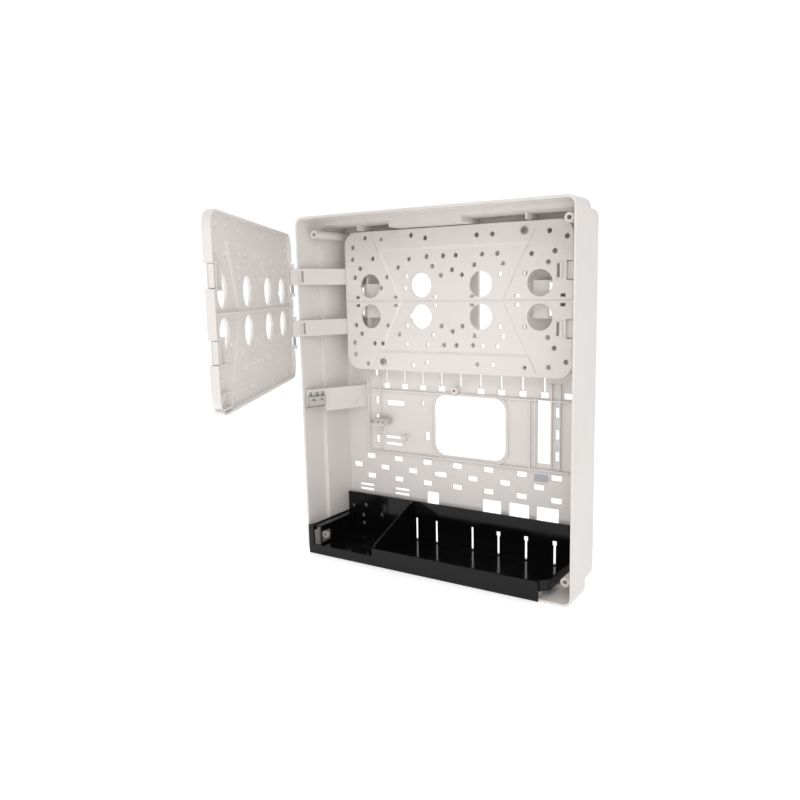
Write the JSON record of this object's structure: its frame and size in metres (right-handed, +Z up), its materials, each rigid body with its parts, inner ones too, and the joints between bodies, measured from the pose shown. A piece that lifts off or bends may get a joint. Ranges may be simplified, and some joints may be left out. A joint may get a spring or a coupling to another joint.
{
  "type": "hinged-plate wall enclosure",
  "caption": "Open-front white plastic wall enclosure with perforated mounting plates, one swung out on hinge arms, cable openings and a black equipment tray.",
  "frame": {"origin": "middle of the lower edge footprint, at floor level, halfway through the back box depth", "axes": "+X right seen from the front, +Y back towards the wall, +Z up; the open front faces -Y"},
  "size_m": [0.3292, 0.3297, 0.382],
  "materials": {
    "white_plastic": "fine matt texture, slightly warm white",
    "black_plastic": "semi-gloss black",
    "zinc_steel": "zinc plated",
    "spring_steel": "bright spring steel",
    "tinned_metal": "tinned, dull",
    "switch_plastic": "matt mid grey",
    "light_switch_plastic": "matt light grey",
    "plunger_plastic": "natural nylon",
    "label_film": "blank film label, satin"
  },
  "bodies": {
    "enclosure": {"back_box": "white_plastic", "inner_plate": "white_plastic", "hinge_arm_upper": "white_plastic", "hinge_arm_lower": "white_plastic", "hinge_pin_upper": "zinc_steel", "hinge_pin_lower": "zinc_steel", "arm_root_pin_upper": "zinc_steel", "arm_root_pin_lower": "zinc_steel", "plate_screws": "zinc_steel", "blank_label": "label_film", "tamper_bracket": "white_plastic", "cover_switch": "switch_plastic", "cover_switch_terminals": "tinned_metal", "wall_switch": "light_switch_plastic", "wall_switch_terminals": "tinned_metal", "tray": "black_plastic", "tray_partition": "black_plastic"},
    "swing_plate": {"outer_plate": "white_plastic"},
    "cover_lever": {"cover_switch_lever": "spring_steel"},
    "cover_plunger": {"cover_switch_plunger": "plunger_plastic"},
    "wall_lever": {"wall_switch_lever": "spring_steel"},
    "wall_plunger": {"wall_switch_plunger": "plunger_plastic"}
  },
  "joints": [
    {"name": "outer_plate_hinge", "type": "hinge", "parent": "enclosure", "child": "swing_plate", "pos_m": [-0.161, -0.0487, 0.285], "axis": [0, 0, 1], "range_deg": [-40, 60.2]},
    {"name": "cover_lever_hinge", "type": "hinge", "parent": "enclosure", "child": "cover_lever", "pos_m": [-0.14604, -0.02102, 0.1739], "axis": [-0.9048, 0.4259, 0], "range_deg": [0, 4.5], "stiffness_Nm_per_rad": 0.02, "springref_deg": -1.15},
    {"name": "cover_plunger_slide", "type": "slide", "parent": "enclosure", "child": "cover_plunger", "axis": [0, 0, 1], "range_m": [0, 0.000884]},
    {"name": "wall_lever_hinge", "type": "hinge", "parent": "enclosure", "child": "wall_lever", "pos_m": [-0.0924, 0.0321, 0.1496], "axis": [0, 0, 1], "range_deg": [0, 4.5], "stiffness_Nm_per_rad": 0.02, "springref_deg": -1.15},
    {"name": "wall_plunger_slide", "type": "slide", "parent": "enclosure", "child": "wall_plunger", "axis": [0, -1, 0], "range_m": [0, 0.000884]}
  ],
  "couplings": [
    {"joint": "cover_plunger_slide", "follows": "cover_lever_hinge", "m_per_rad": 0.011},
    {"joint": "wall_plunger_slide", "follows": "wall_lever_hinge", "m_per_rad": 0.011}
  ]
}
